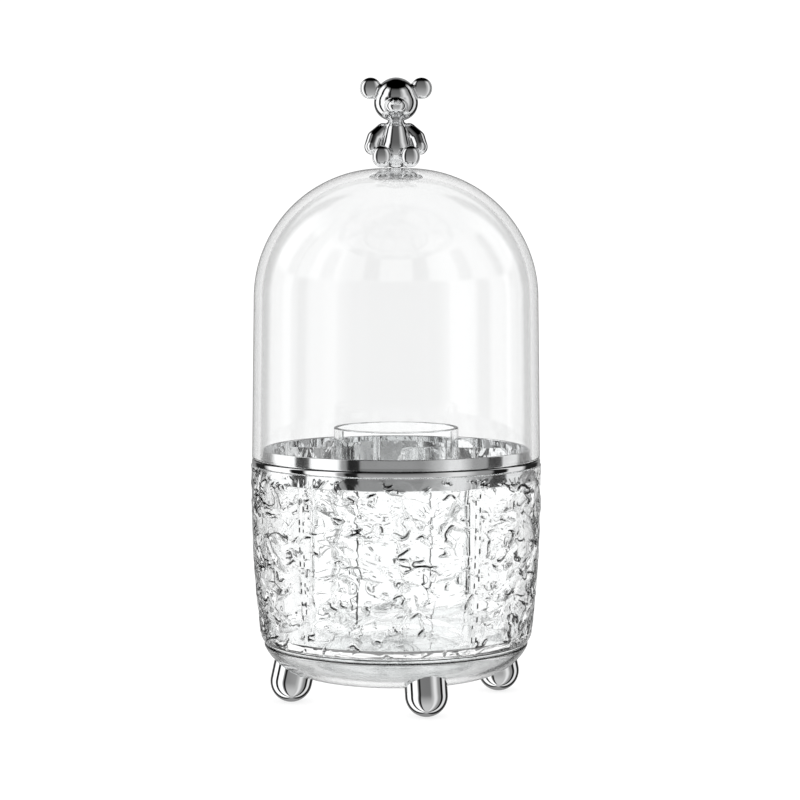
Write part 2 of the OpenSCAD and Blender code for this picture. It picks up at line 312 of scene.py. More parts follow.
def under_pan(spot):
    """Whether a point of the foot is still below the pan's curved underside."""
    r = math.hypot(spot.x, spot.y)
    if r < PAN_FLAT_R:
        return spot.z < PAN_UNDER - FOOT_FILM
    return math.hypot(r - PAN_FLAT_R, spot.z - PAN_UNDER - PAN_CURVE) > PAN_CURVE + FOOT_FILM


def rise_to_pan(start, up):
    """How far a point of the foot can move along its axis before it meets the pan."""
    low = 0.0
    high = FOOT_SEARCH
    for _ in range(30):
        middle = (low + high) / 2
        if under_pan(start + up * middle):
            low = middle
        else:
            high = middle
    return low


def foot(name, turn):
    """A leaning peg from rows of (share of the radius, rise along the axis) at each column."""
    out = Vector((math.sin(turn), -math.cos(turn), 0))
    side = Vector((math.cos(turn), math.sin(turn), 0))
    up = Vector((0, 0, math.cos(FOOT_LEAN))) - out * math.sin(FOOT_LEAN)
    front = side.cross(up) * -1
    centre = out * FOOT_CENTRE_R + Vector((0, 0, FOOT_R))
    around = [i * 2 * math.pi / FOOT_COLUMNS for i in range(FOOT_COLUMNS)]
    spokes = [(side * math.cos(angle) + front * math.sin(angle)) * FOOT_R for angle in around]
    rows = []
    for k in range(1, END_ROWS + 1):
        tilt = k / END_ROWS * math.pi / 2
        rows.append([(math.sin(tilt), -FOOT_R * math.cos(tilt))] * FOOT_COLUMNS)
    tops = [[(share, rise_to_pan(centre + spoke * share, up)) for spoke in spokes] for share in TOP_SHARES]
    for k in range(1, SHANK_ROWS + 1):
        rows.append([(1, (top - FOOT_EDGE) * k / SHANK_ROWS) for _, top in tops[0]])
    rows += tops[1:]
    points = [centre - up * FOOT_R]
    for row in rows:
        points += [centre + spoke * share + up * rise for spoke, (share, rise) in zip(spokes, row)]
    points.append(centre + up * (sum(top for _, top in tops[-1]) / FOOT_COLUMNS))
    last = 1 + (len(rows) - 1) * FOOT_COLUMNS
    faces = []
    for i in range(FOOT_COLUMNS):
        k = (i + 1) % FOOT_COLUMNS
        faces.append((0, 1 + k, 1 + i))
        for low in range(1, last, FOOT_COLUMNS):
            faces.append((low + i, low + k, low + FOOT_COLUMNS + k, low + FOOT_COLUMNS + i))
        faces.append((last + i, last + k, len(points) - 1))
    peg = solid(name, points, faces)
    peg.data.materials.append(plating)
    return peg


for count, side_name in enumerate(("front", "right", "back", "left")):
    peg = foot("peg_" + side_name, FOOT_TURN + count * math.pi / 2)
    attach(peg, "base")
    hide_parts("foot_" + side_name)


# ==== Glide ring ====
# A loose ring of clear plastic that stands in the pan round its rib. The barrel's floor
# slides on its top edge, so that edge and the foot are rubbed slightly matt.

GLIDE_INNER_R = 36.0
GLIDE_R = 38.6
GLIDE_FOOT = 14.51
GLIDE_TOP = 29.8
GLIDE_ROUND = 0.5
GLIDE_COLOUR = (0.96, 0.97, 0.97)

glide_outline = soften(
    [(GLIDE_INNER_R, GLIDE_FOOT, MOULD_ROUND), (GLIDE_R, GLIDE_FOOT, MOULD_ROUND)]
    + [(GLIDE_R, GLIDE_TOP, GLIDE_ROUND), (GLIDE_INNER_R, GLIDE_TOP, GLIDE_ROUND)]
)
glide_plastic = clear_plastic("glide_plastic", GLIDE_COLOUR, polish=0.06, smudge=0.10, hairline=1.0)
ring = lathe("glide_ring", glide_outline)
ring.data.materials.append(glide_plastic)
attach(ring, "base")
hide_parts("turntable_ring")


# ==== Barrel ====
# The turning body, clear plastic moulded with its pivot in five side slides. Outside it has
# a water-ripple skin of long dents, fine swells and sharp nicks, and a plain upright channel
# where two slides met. Dark strokes of painted shade, painted into the plastic's colour, run
# along the nicks and beside the channels. Inside it is polished smooth.

BELLY_CENTRE = (-550.0, 103.2)
BELLY_R = 620.0
BARREL_R = BELLY_CENTRE[0] + BELLY_R
CORNER_CENTRE = (58.058, 33.85)
CORNER_R = 8.0
SKIN_FOOT = 28.65
MOUTH = 113.2
BARREL_WALL = 3.2
BARREL_FOOT = 27.4
BARREL_FLOOR = 33.0
FLOOR_UNDER = 30.0
PIVOT_R = 7.0
NOSE_R = 4.95
NOSE_FOOT = 12.2
NOSE_TOP = 14.4
BARREL_COLUMNS = 1260
BARREL_COLOUR = (0.985, 0.99, 0.99)
BARREL_SEAM = (28.3, 28.9)
BARREL_GLARE = 0.15

CHANNELS = 5
CHANNEL_TURN = math.radians(33)
CHANNEL_STEP = 2 * math.pi / CHANNELS
CHANNEL_HALF = 1.1
CHANNEL_SIDE = 0.7
CHANNEL_DEPTH = 0.4
SECTOR = 2 * math.pi * BARREL_R / CHANNELS

DENT_ROWS = 5
ROW_DENTS = 4
DENT_LOW = 32.94
DENT_PITCH = 14.81
DENT_R = 14.0
DENT_DEPTH = 0.9
DENT_SPREAD = 0.5
DENT_LEAN = 24.0
DENT_STRAY = 2.4
DENT_REACH = 12.0
DENT_TURN = 0.3
CHANNEL_MARGIN = 5.0

RIPPLE_SEED = 7
RIPPLE_LOW = 31.5
RIPPLE_HIGH = 110.5
RIPPLE_R = 66.0
RIPPLE_SQUASH = 1.4
WARP_SIZE = 12.0
WARP_REACH = 5.0
SWELL_DEPTH = 0.38
SWELL_SIZE = 10.0
SWELL_SHARE = 0.6
FOLD_SIZE = 8.5
FOLD_STEP = 0.2
FOLD_SHARE = 0.35
FOLD_FIELD = Vector((31, 7, 13))
NICK_DEPTH = 0.8
NICK_HALF = 0.18
CREASE_SIZE = 6.0
CREASE_FIELD = Vector((3, 41, 17))
NICK_OPENS = 0.2
NICK_OPEN = 0.3
OPEN_SIZE = 7.0
OPEN_FIELD = Vector((11, 5, 29))

# Painted shade: the dark strokes painted into the plastic's colour along the nicks' creases, the dashes
# beside the channels, and more strokes just under the collar
STROKE_FADE = 1.2
STROKE_SLOPE = 0.08
DEEP_OPENING = 0.36
DEEP_STEP = 0.04
PALE_OPENING = -0.02
PALE_STEP = 0.06
PALE_SHARE = 0.66
COLLAR_SHADE = 0.08
COLLAR_SHADE_LOW = 99
COLLAR_SHADE_HIGH = 104
DASH_REACH = 2.5
DASH_OUT = 0.1
DASH_HALF = 0.45
DASH_SIZE = 3.2
DASH_STEP = 0.15
CHANNEL_FIELD = 9
SIDE_FIELD = 40


def skin_curve(inset, low, high, corner_rows, belly_rows):
    """The skin's section from its foot up to the mouth: the round corner, then the belly."""
    bend = math.degrees(math.asin((BELLY_CENTRE[1] - CORNER_CENTRE[1]) / (BELLY_R - CORNER_R)))
    corner = CORNER_R - inset
    belly = BELLY_R - inset
    start = math.degrees(math.asin((low - CORNER_CENTRE[1]) / corner))
    stop = math.degrees(math.asin((high - BELLY_CENTRE[1]) / belly))
    foot_of_skin = arc(CORNER_CENTRE, corner, start, -bend, corner_rows)
    side_of_skin = arc(BELLY_CENTRE, belly, -bend, stop, belly_rows)
    return foot_of_skin + side_of_skin[1:]


def smooth(low, high, value):
    """0 before low, 1 past high, and a soft step between."""
    t = min(max((value - low) / (high - low), 0.0), 1.0)
    return t * t * (3 - 2 * t)


def stray(seed):
    """A number from -1 to 1 that follows no visible rule."""
    mix = math.sin(math.radians(seed * 78.233)) * 437.58
    return 2 * (mix - math.floor(mix)) - 1


dents = []
for sector in range(CHANNELS):
    for row in range(DENT_ROWS):
        row_dents = ROW_DENTS - row % 2
        for spot in range(row_dents):
            seed = sector * 97 + row * 11 + spot
            share = (spot + 0.5) / row_dents
            place = CHANNEL_MARGIN + share * (SECTOR - 2 * CHANNEL_MARGIN) + DENT_STRAY * stray(seed + 0.6)
            z = DENT_LOW + (row + 0.5) * DENT_PITCH + DENT_STRAY * stray(seed)
            depth = DENT_DEPTH * (1 - DENT_SPREAD * (1 + stray(seed + 0.3)) / 2)
            skin_r = BELLY_CENTRE[0] + math.sqrt(BELLY_R ** 2 - (z - BELLY_CENTRE[1]) ** 2)
            turn = CHANNEL_TURN + (sector + place / SECTOR) * 2 * math.pi / CHANNELS
            dents.append((turn, z, skin_r - depth + DENT_R, math.radians(DENT_LEAN * stray(seed + 0.9))))


def dented(turns, r, z):
    """How deep the long dents, marks of a round bar laid against the skin, cut a ring of it."""
    depths = np.zeros(len(turns))
    for turn, middle, bar_r, lean in dents:
        if abs(z - middle) > DENT_REACH:
            continue
        away = (turns - turn + math.pi) % (2 * math.pi) - math.pi
        near = np.nonzero(np.abs(away) < DENT_TURN)[0]
        across = (z - middle) * math.cos(lean) - r * np.sin(away[near]) * math.sin(lean)
        reach = np.sqrt(np.maximum(DENT_R ** 2 - across ** 2, 0))
        depths[near] = np.maximum(depths[near], r - (bar_r - reach) / np.cos(away[near]))
    return depths


def fine_ripple(turn, z):
    """At one spot of the skin: the depth of the swells and nicks, the field whose zero is
    the crease of a nick, and how far the nick is open there."""
    spot = Vector((RIPPLE_R * math.sin(turn), -RIPPLE_R * math.cos(turn), z * RIPPLE_SQUASH))
    spot = spot + noise.noise_vector(spot / WARP_SIZE) * WARP_REACH
    swell = noise.noise(spot / SWELL_SIZE)
    fold = smooth(0, FOLD_STEP, noise.noise(spot / FOLD_SIZE + FOLD_FIELD))
    crease = noise.noise(spot / CREASE_SIZE + CREASE_FIELD)
    opening = noise.noise(spot / OPEN_SIZE + OPEN_FIELD)
    nick = math.exp(-((crease / NICK_HALF) ** 2)) * smooth(NICK_OPENS, NICK_OPEN, opening)
    level = 0.5 + swell * SWELL_SHARE + FOLD_SHARE * (fold - 0.5)
    return SWELL_DEPTH * (1 - min(max(level, 0), 1)) + NICK_DEPTH * nick, crease, opening


def dash(turn, z, side, aside):
    """Strength of the broken dark lines of painted shade along both edges of a channel."""
    if aside >= DASH_REACH:
        return 0.0
    field = Vector((round(turn) * CHANNEL_FIELD, SIDE_FIELD if side > 0 else 0, z / DASH_SIZE))
    spread = math.exp(-(((aside - CHANNEL_HALF - DASH_OUT) / DASH_HALF) ** 4))
    return smooth(0.0, DASH_STEP, noise.noise(field)) * spread


def rippled(skin):
    """Depth of the ripple, and strength of its dark strokes of painted shade, at each row and column."""
    turns = np.arange(BARREL_COLUMNS) * 2 * math.pi / BARREL_COLUMNS
    beside = (turns - CHANNEL_TURN + CHANNEL_STEP / 2) % CHANNEL_STEP - CHANNEL_STEP / 2
    depths, creases, openings, dashes = np.zeros((4, len(skin), BARREL_COLUMNS))
    for row, (r, z) in enumerate(skin):
        edge = min(smooth(SKIN_FOOT, RIPPLE_LOW, z), smooth(MOUTH, RIPPLE_HIGH, z))
        shade = COLLAR_SHADE * smooth(COLLAR_SHADE_LOW, COLLAR_SHADE_HIGH, z)
        long_dents = dented(turns, r, z)
        for i, turn in enumerate(turns):
            aside = abs(beside[i]) * r
            clear = smooth(CHANNEL_HALF, CHANNEL_HALF + CHANNEL_SIDE, aside)
            fine, creases[row, i], opening = fine_ripple(turn, z)
            depths[row, i] = (CHANNEL_DEPTH + (long_dents[i] + fine - CHANNEL_DEPTH) * clear) * edge
            openings[row, i] = (opening + 1 + shade) * clear * edge - 1
            dashes[row, i] = dash(turn, z, beside[i], aside) * edge
    upward = np.gradient(creases, [z for r, z in skin], axis=0)
    column = np.array([[2 * math.pi * r / BARREL_COLUMNS] for r, z in skin])
    sideward = (np.roll(creases, -1, axis=1) - np.roll(creases, 1, axis=1)) / (2 * column)
    away = np.abs(creases) / np.maximum(np.hypot(upward, sideward), STROKE_SLOPE)
    line = np.clip(1 - away / STROKE_FADE, 0, 1)
    deep = np.clip((openings - DEEP_OPENING) / DEEP_STEP, 0, 1)
    pale = np.clip((openings - PALE_OPENING) / PALE_STEP, 0, 1) * PALE_SHARE
    return depths, np.maximum(dashes, line * np.maximum(deep, pale))


def paint_stroke_shade(material):
    """Paints shade into the plastic's colour along the strokes, which spread where the skin turns away."""
    tree = material.node_tree
    base = tree.nodes["Principled BSDF"].inputs["Base Color"]
    stroke = add_node(tree, "Attribute", attribute_name="stroke").outputs["Fac"]
    turned = add_node(tree, "LayerWeight", {"Blend": 0.5}).outputs["Facing"]
    spread = add_node(
        tree, "MapRange", {"Value": turned, "From Min": 0.05, "From Max": 0.6, "To Min": 1, "To Max": 1.7}
    )
    reach = add_node(tree, "Math", {0: stroke, 1: spread.outputs["Result"]}, operation="MULTIPLY")
    mask = add_node(tree, "MapRange", {"Value": reach.outputs["Value"], "From Min": 0.6, "From Max": 0.8})
    painted_shade_colour = add_node(
        tree,
        "Mix",
        {"Factor": mask.outputs["Result"], "A": base.links[0].from_socket, "B": PAINTED_SHADE_DARK},
        data_type="RGBA",
    )
    tree.links.new(painted_shade_colour.outputs["Result"], base)


skin = skin_curve(0, SKIN_FOOT, MOUTH, corner_rows=20, belly_rows=300)
inner = skin_curve(BARREL_WALL, BARREL_FLOOR, MOUTH, corner_rows=8, belly_rows=24)[::-1]
foot_wall_r = PAN_RIM_R - PAN_WALL
barrel_outline = soften(
    [(0, NOSE_FOOT), (NOSE_R, NOSE_FOOT, MOULD_ROUND), (NOSE_R, NOSE_TOP), (PIVOT_R, NOSE_TOP, MOULD_ROUND)]
    + [(PIVOT_R, FLOOR_UNDER, 0.6), (foot_wall_r, FLOOR_UNDER, 0.8), (foot_wall_r, BARREL_FOOT, MOULD_ROUND)]
    + [(PAN_RIM_R, BARREL_FOOT, MOULD_ROUND), (PAN_RIM_R, SKIN_FOOT)]
    + skin
    + inner
    + [(0, BARREL_FLOOR)]
)
skin_start = barrel_outline.index(skin[0])
noise.seed_set(RIPPLE_SEED)
depths, painted_strokes = rippled(skin)


def skin_depth(row):
    place = row - skin_start
    return depths[place] if 0 <= place < len(skin) else None


barrel = lathe("rippled_barrel", barrel_outline, BARREL_COLUMNS, skin_depth)
# The strokes' painted shade is stored on the mesh, for the plastic's colour to read
first = 1 + (skin_start - 1) * BARREL_COLUMNS
values = np.zeros(len(barrel.data.vertices))
values[first:first + painted_strokes.size] = painted_strokes.ravel()
barrel.data.attributes.new("stroke", "FLOAT", "POINT").data.foreach_set("value", values)

barrel_plastic = clear_plastic("barrel_plastic", BARREL_COLOUR, polish=0.003, smudge=0.015, hairline=0.4)
barrel_plastic.node_tree.nodes["Principled BSDF"].inputs["Specular IOR Level"].default_value = BARREL_GLARE
shade_seam(barrel_plastic, *BARREL_SEAM)
paint_stroke_shade(barrel_plastic)
barrel.data.materials.append(barrel_plastic)
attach(barrel, "barrel")
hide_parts("barrel")


# ==== Pivot clip ====
# A collar of clear plastic pressed on the pivot's nose from below. Its shoulder keeps the
# barrel on the pan, and it lies hidden in the recess of the hub.

CLIP_INNER_R = 5.0
CLIP_R = 8.9
CLIP_ROUND = 0.4

clip_outline = soften(
    [(CLIP_INNER_R, NOSE_FOOT, MOULD_ROUND), (CLIP_R, NOSE_FOOT, CLIP_ROUND)]
    + [(CLIP_R, NOSE_TOP, CLIP_ROUND), (CLIP_INNER_R, NOSE_TOP, MOULD_ROUND)]
)
clip = lathe("pivot_collar", clip_outline, columns=128)
clip.data.materials.append(glide_plastic)
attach(clip, "barrel")
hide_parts("pivot_clip")


# ==== Collar ====
# A chrome-plated ring bonded in the barrel's mouth: a skirt inside the wall, a flange that
# the dome stands on, and an upright lip that keeps the dome in place.

SKIRT_FOOT = 107.0
SKIRT_R = 66.67
SKIRT_ROUND = 0.35
FLANGE_R = 69.5
FLANGE_TOP = 116.2
LIP_INNER_R = 63.5
LIP_R = 64.5
LIP_TOP = 121.4
LIP_ROUND = 0.45

collar_outline = soften(
    [(LIP_INNER_R, SKIRT_FOOT, SKIRT_ROUND), (SKIRT_R, SKIRT_FOOT, SKIRT_ROUND), (SKIRT_R, MOUTH)]
    + [(FLANGE_R, MOUTH, 0.8), (FLANGE_R, FLANGE_TOP, 0.9), (LIP_R, FLANGE_TOP, 0.3)]
    + [(LIP_R, LIP_TOP, LIP_ROUND), (LIP_INNER_R, LIP_TOP, LIP_ROUND)]
)
collar = lathe("collar_band", collar_outline, columns=360)
collar.data.materials.append(chrome("collar_chrome", CHROME_COLOUR, polish=0.01, smudge=0.015, hairline=0.6))
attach(collar, "barrel")
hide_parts("collar_ring")


# ==== Divider insert ====
# One clear moulding that lifts out: a tall centre tube with five upright plates, their
# outer corners rounded, that stand on the barrel's floor and end just inside the collar.

INSERT_FOOT = 33.2
TUBE_R = 30.0
TUBE_INNER_R = 28.0
TUBE_TOP = 131.2
TUBE_ROUND = 0.6
PLATES = 5
PLATE_HALF = 1
PLATE_ROOT_R = 29.0
PLATE_REACH = 61.5
PLATE_TOP = 112.6
PLATE_LOW_ROUND = 5
PLATE_TOP_ROUND = 8
PLATE_EDGE = 0.3
INSERT_COLOUR = (0.99, 0.993, 0.993)
INSERT_BENDING = 1.3


def baked(piece):
    """Replaces a piece's mesh with the result of its modifiers."""
    evaluated = piece.evaluated_get(bpy.context.evaluated_depsgraph_get())
    mesh = bpy.data.meshes.new_from_object(evaluated)
    piece.modifiers.clear()
    piece.data = mesh
    return piece


def plate(turn):
    """One upright plate from inside the tube's wall outward, with softened edges."""
    face = soften(
        [(PLATE_ROOT_R, INSERT_FOOT), (PLATE_REACH, INSERT_FOOT, PLATE_LOW_ROUND)]
        + [(PLATE_REACH, PLATE_TOP, PLATE_TOP_ROUND), (PLATE_ROOT_R, PLATE_TOP)],
        steps=12,
    )
    out = Vector((math.sin(turn), -math.cos(turn), 0))
    side = Vector((math.cos(turn), math.sin(turn), 0))
    points = []
    for offset in (-PLATE_HALF, PLATE_HALF):
        points += [out * r + side * offset + Vector((0, 0, z)) for r, z in face]
    count = len(face)
    faces = [list(range(count)), list(range(2 * count - 1, count - 1, -1))]
    faces += [(i, i + count, (i + 1) % count + count, (i + 1) % count) for i in range(count)]
    panel = solid("plate", points, faces)
    rounding = panel.modifiers.new("edge", "BEVEL")
    rounding.width = PLATE_EDGE * MM
    rounding.segments = 2
    rounding.angle_limit = math.radians(50)
    return baked(panel)


tube_outline = soften(
    [(TUBE_INNER_R, INSERT_FOOT, MOULD_ROUND), (TUBE_R, INSERT_FOOT, MOULD_ROUND)]
    + [(TUBE_R, TUBE_TOP, TUBE_ROUND), (TUBE_INNER_R, TUBE_TOP, TUBE_ROUND)]
)
insert = lathe("divider_star", tube_outline, columns=240)
plates = [plate(CHANNEL_TURN + k * 2 * math.pi / PLATES) for k in range(PLATES)]
for panel in plates:
    weld = insert.modifiers.new("weld", "BOOLEAN")
    weld.operation = "UNION"
    weld.solver = "EXACT"
    weld.object = panel
baked(insert)
for panel in plates:
    bpy.data.objects.remove(panel)
insert.data.set_sharp_from_angle(angle=math.radians(38))
insert.data.materials.clear()
insert_plastic = clear_plastic(
    "insert_plastic", INSERT_COLOUR, polish=0.004, smudge=0.02, hairline=0.5, ior=INSERT_BENDING
)
insert.data.materials.append(insert_plastic)
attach(insert, "insert")
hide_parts("insert_tube", "divider_1", "divider_2", "divider_3", "divider_4", "divider_5")


# ==== Dome cover ====
# A tall clear cover with thick polished walls and a little draft, so that it leaves its
# mould. A blind socket in the crown takes the knob's peg.

DOME_FOOT = 116.4
DOME_RIM_R = 69.4
DOME_RIM_INNER_R = 65.6
DOME_RIM_ROUND = 0.7
DOME_WALL = 3.8
CROWN_CENTRE = (6.1, 193.3)
CROWN_R = 62.3
CROWN_STEPS = 72
CROWN_TOP = 255.6
SOCKET_R = 3.05
SOCKET_FLOOR = 253.4
CROWN_UNDER = 251.8
DOME_COLOUR = (0.99, 0.993, 0.993)

dome_outline = soften(
    [(DOME_RIM_INNER_R, DOME_FOOT, DOME_RIM_ROUND), (DOME_RIM_R, DOME_FOOT, DOME_RIM_ROUND)]
    + arc(CROWN_CENTRE, CROWN_R, 0, 90, CROWN_STEPS)
    + [(SOCKET_R, CROWN_TOP, 0.2), (SOCKET_R, SOCKET_FLOOR), (0, SOCKET_FLOOR), (0, CROWN_UNDER)]
    + arc(CROWN_CENTRE, CROWN_R - DOME_WALL, 90, 0, CROWN_STEPS)
)
dome = lathe("dome", dome_outline, columns=360)
dome_plastic = clear_plastic("dome_plastic", DOME_COLOUR, polish=0.002, smudge=0.012, hairline=0.3)
dome.data.materials.append(dome_plastic)
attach(dome, "cover")
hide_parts("dome_cover")


# ==== Bear knob ====
# A small sitting teddy, cast hollow and chrome-plated: round head and ears, short muzzle,
# arms at its sides and legs forward. A peg under it is pressed into the dome's crown.

# Each ball has its place above the crown and its radius, or three half sizes
HIPS = ((0, 1, 9), 9)
CHEST = ((0, 1, 17.5), 6.2)
HEAD = ((0, 0, 33.4), 9.95)
MUZZLE = ((0, -8.6, 29.4), (5.2, 4, 4))
NOSE = ((0, -12.6, 31.2), (1.9, 1.2, 1.3))
# These are on one side, and their mirror images on the other
CHEEK = ((2, -1, 31.2), 8.6)
EAR = ((12.2, 1, 38.2), (5.2, 2.5, 5.2))
SHOULDER = ((6.2, 0.4, 18.3), 3.4)
ELBOW = ((9.8, -0.4, 14.25), 4.2)
PAW = ((11.2, -2.4, 10.2), 4)
LEG_ROOT = ((4.8, -1, 4.6), 4.4)
ANKLE = ((6.8, -9.5, 4.9), 4.4)
SOLE = ((6.8, -12.5, 5.3), (4.6, 2.4, 5.3))
LIMB_BALLS = 17
CAST_CELL = 0.3
CAST_SMOOTHING = 10
BEAR_COLOUR = (0.78, 0.785, 0.79)


def ball(shape, form, side=1):
    """Adds a ball or an egg to the shape, on its own side or mirrored."""
    at, half = form
    at = Vector((at[0] * side, at[1], at[2]))
    size = Vector(half if hasattr(half, "__len__") else (half, half, half))
    made = bmesh.ops.create_icosphere(shape, subdivisions=4, radius=1)
    for vert in made["verts"]:
        vert.co = Vector((vert.co.x * size.x, vert.co.y * size.y, vert.co.z * size.z)) + at


def limb(shape, start, end, side=1):
    """Adds a tapering limb with round ends: a row of closely set balls."""
    for k in range(LIMB_BALLS):
        share = k / (LIMB_BALLS - 1)
        at = Vector(start[0]).lerp(Vector(end[0]), share)
        ball(shape, (at, start[1] + (end[1] - start[1]) * share), side)


bear_shape = bmesh.new()
limb(bear_shape, HIPS, CHEST)
ball(bear_shape, HEAD)
for side in (-1, 1):
    ball(bear_shape, CHEEK, side)
    ball(bear_shape, EAR, side)
    limb(bear_shape, SHOULDER, ELBOW, side)
    limb(bear_shape, ELBOW, PAW, side)
    limb(bear_shape, LEG_ROOT, ANKLE, side)
    ball(bear_shape, SOLE, side)
ball(bear_shape, MUZZLE)
ball(bear_shape, NOSE)
bear_mesh = bpy.data.meshes.new("bear")
bear_shape.to_mesh(bear_mesh)
bear_shape.free()
bear = bpy.data.objects.new("bear", bear_mesh)
bpy.context.scene.collection.objects.link(bear)
cast = bear.modifiers.new("cast", "REMESH")
cast.mode = "VOXEL"
cast.voxel_size = CAST_CELL
plated = bear.modifiers.new("plated", "SMOOTH")
plated.factor = 0.5
plated.iterations = CAST_SMOOTHING
baked(bear)
for vert in bear.data.vertices:
    vert.co = (vert.co.x * MM, vert.co.y * MM, (max(vert.co.z, 0) + CROWN_TOP) * MM)
bear.data.shade_smooth()
bear.data.materials.append(chrome("bear_chrome", BEAR_COLOUR, polish=0.01, smudge=0.015, hairline=0.4))
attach(bear, "cover")
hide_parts("bear_knob")


# ==== Table and studio ====
# A plain pale table, and a white room with a few dark screens and grey walls, whose
# upright stripes show in the plating and at the edges of the clear walls.

TABLE_SIZE = 12
TABLE_GREY = (0.32, 0.32, 0.32, 1)
TABLE_GLOW = 0.75
# Brightness at angles round the room, from the camera's side, positive to its right, and
# at heights from straight down to straight up, all in degrees. First what reflections meet
ROOM = [
    (-180, 0.3), (-152, 0.3), (-147, 0.02), (-129, 0.02), (-119, 1.35), (-94, 1.35), (-91, 0.01),
    (-78, 0.01), (-75, 1.2), (-70, 1.35), (-50, 1.35), (-46, 0.36), (-42.5, 0.33), (-40, 0.01),
    (-31, 0.02), (-29, 0), (22, 0), (46, 0.9), (55, 0.88), (62, 0.6), (68, 0.36), (81, 0.33),
    (84, 0.01), (98, 0.01), (101, 0.9), (119, 0.9), (126, 0.02), (150, 0.02), (160, 0.3), (180, 0.3),
]
FRONT_WALL = [
    (-90, 0.7), (-45, 0.62), (-15, 0.42), (-6, 0.35), (8, 0.23), (25, 0.17), (52, 0.12), (64, 0.03),
    (90, 0.03),
]
FRONT_SPAN = [(-180, 0), (-31, 0), (-29, 1), (22, 1), (38, 0), (180, 0)]
CEILING = [(-90, 0), (40, 0), (54, 1), (90, 1)]
FLOOR = [(-90, 1), (-84, 1), (-78, 0), (90, 0)]
FLOOR_GREY = 0.55
# Then screens that stand the same in each quarter of the room, seen through clear walls:
# narrow ones high up, wide ones low down, and strips between them
HIGH_SCREENS = [(0, 0), (11, 0), (14, 1), (22, 1), (26, 0), (64, 0), (68, 1), (76, 1), (79, 0), (90, 0)]
HIGH_RISE = [(-90, 0), (-6.5, 0), (-5, 0.3), (12, 0.3), (20, 0), (90, 0)]
LOW_SCREENS = [(0, 0), (14, 0), (17, 1), (29, 1), (32, 0), (58, 0), (61, 1), (73, 1), (76, 0), (90, 0)]
LOW_RISE = [(-90, 0), (-44, 0), (-40, 1), (-12, 1), (-10, 0), (90, 0)]
STRIPS = [(0, 1), (11, 1), (14, 0), (76, 0), (79, 1), (90, 1)]
STRIP_RISE = [(-90, 0), (-55, 0), (-48, 0.8), (-24, 0.8), (-21, 0), (90, 0)]
WALL_GLOW = [(-90, 1), (-20, 1), (-13, 1.03), (-6.4, 1.03), (-5.6, 1), (90, 1)]
WALLS_CROSSED = 4
WALL_REGAIN = 0.06
# What the rim of a clear wall turns round inside itself: light, but for a narrow dark line
RIM_LIGHT = [(-180, 1.25), (-60, 1.1), (-40, 0.3), (22, 0.3), (40, 1.1), (180, 1.25)]
RIM_LINE = [(-180, 1), (-175, 1), (-171, 0), (171, 0), (175, 1), (180, 1)]
RIM_RISE = [(-90, 0), (-17, 0), (-13, 1), (5, 1), (8, 0), (90, 0)]
# What steep slopes of the skin turn to: light low down, broken by the low screens
SLOPE_RISE = [(-90, 0), (-42, 0), (-38, 1), (-7, 1), (-5.8, 0), (90, 0)]
LOW_DOWN = [(-90, 1), (-15, 1), (-12, 0), (90, 0)]
LOW_LIGHT = 1.15
BEHIND = [(-180, 1), (-125, 1), (-115, 0), (115, 0), (125, 1), (180, 1)]
BEHIND_LIGHT = 1.1
BACKDROP_LIGHT = 1.12
BRIGHTEST = 1.4

for piece in (pan, ring, barrel, clip, insert, dome):
    piece.visible_shadow = False
    piece.visible_diffuse = False

bpy.ops.mesh.primitive_grid_add(x_subdivisions=8, y_subdivisions=8, size=TABLE_SIZE)
table = bpy.context.object
table.name = "table"
table.visible_glossy = False
table.visible_transmission = False
table_paint = bpy.data.materials.new("table_paint")
table_paint.use_nodes = True
table_shader = table_paint.node_tree.nodes["Principled BSDF"].inputs
table_shader["Base Color"].default_value = TABLE_GREY
table_shader["Emission Color"].default_value = (1, 1, 1, 1)
table_shader["Emission Strength"].default_value = TABLE_GLOW
table_shader["Roughness"].default_value = 0.9
table_shader["Specular IOR Level"].default_value = 0
table.data.materials.append(table_paint)

scene = bpy.context.scene
world = bpy.data.worlds.new("studio")
world.use_nodes = True
scene.world = world
room_tree = world.node_tree
room_tree.nodes.clear()


def reckon(operation, *terms):
    """A math step on sockets or plain numbers."""
    return add_node(room_tree, "Math", dict(enumerate(terms)), operation=operation).outputs[0]


def times(first, second):
    return reckon("MULTIPLY", first, second)


def rest_of(mask):
    return reckon("SUBTRACT", 1, mask)


def toward(start, end, share):
    """The start, and as the share grows from 0 to 1, more and more the end."""
    return reckon("MULTIPLY_ADD", share, reckon("SUBTRACT", end, start), start)


def read_at(stops, angle):
    """Reads a list of (degrees, brightness) at an angle that the socket gives in radians."""
    low = stops[0][0]
    high = stops[-1][0]
    span = {"Value": angle, "From Min": math.radians(low), "From Max": math.radians(high)}
    place = add_node(room_tree, "MapRange", span)
    ramp = add_node(room_tree, "ValToRGB", {"Fac": place.outputs["Result"]})
    ramp_stops = ramp.color_ramp.elements
    while len(ramp_stops) > 1:
        ramp_stops.remove(ramp_stops[-1])
    for k, (degrees, level) in enumerate(stops):
        spot = (degrees - low) / (high - low)
        stop = ramp_stops[0] if k == 0 else ramp_stops.new(spot)
        stop.position = spot
        stop.color = (level / BRIGHTEST, level / BRIGHTEST, level / BRIGHTEST, 1)
    return times(ramp.outputs["Color"], BRIGHTEST)


# Where each ray looks: round the room, up or down, and round its quarter of the room
direction = add_node(room_tree, "TexCoord").outputs["Generated"]
heading = add_node(room_tree, "SeparateXYZ", {"Vector": direction}).outputs
round_angle = reckon("ARCTAN2", heading["X"], times(heading["Y"], -1))
rise = reckon("ARCSINE", heading["Z"])
quarter = reckon("MODULO", reckon("ADD", round_angle, math.pi), math.pi / 2)

